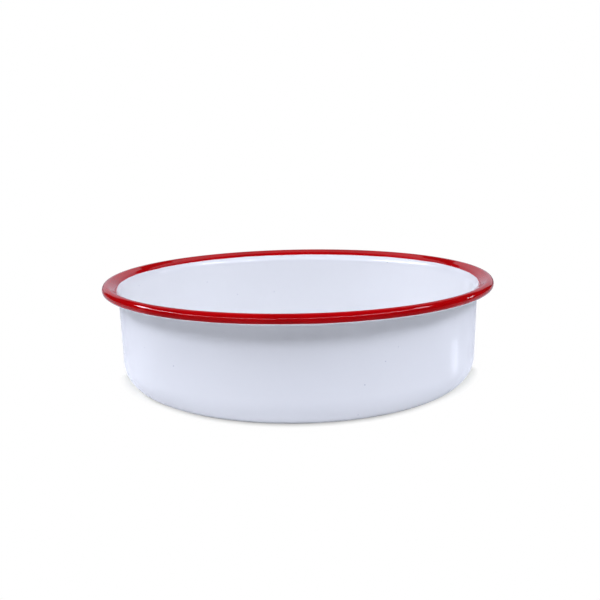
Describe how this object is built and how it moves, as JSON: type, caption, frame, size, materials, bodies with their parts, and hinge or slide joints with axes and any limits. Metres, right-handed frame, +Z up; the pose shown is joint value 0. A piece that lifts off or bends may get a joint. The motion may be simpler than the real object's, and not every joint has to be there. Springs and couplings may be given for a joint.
{
  "type": "baking dish",
  "caption": "Round straight-sided baking dish of enamelled sheet steel, open at the top, with a flared lip and a rolled rim, white with a red rim.",
  "frame": {"origin": "on the axis of the dish, at the level of the table that it stands on", "axes": "+Z up along the axis of the dish, towards its open mouth; X and Y lie in the table, and the dish is round, so their directions are free"},
  "size_m": [0.24, 0.24, 0.064],
  "materials": {
    "steel": "cold-rolled low-carbon sheet, pickled for enamelling",
    "ground_enamel": "dark blue-black fired ground coat",
    "white_enamel": "glossy cool-white fired cover coat",
    "red_enamel": "glossy deep-red fired rim coat"
  },
  "bodies": {
    "root": {"steel_pan": "steel", "ground_coat_inside": "ground_enamel", "ground_coat_outside": "ground_enamel", "white_enamel_inside": "white_enamel", "white_enamel_outside": "white_enamel", "red_rim_enamel": "red_enamel"}
  },
  "joints": []
}
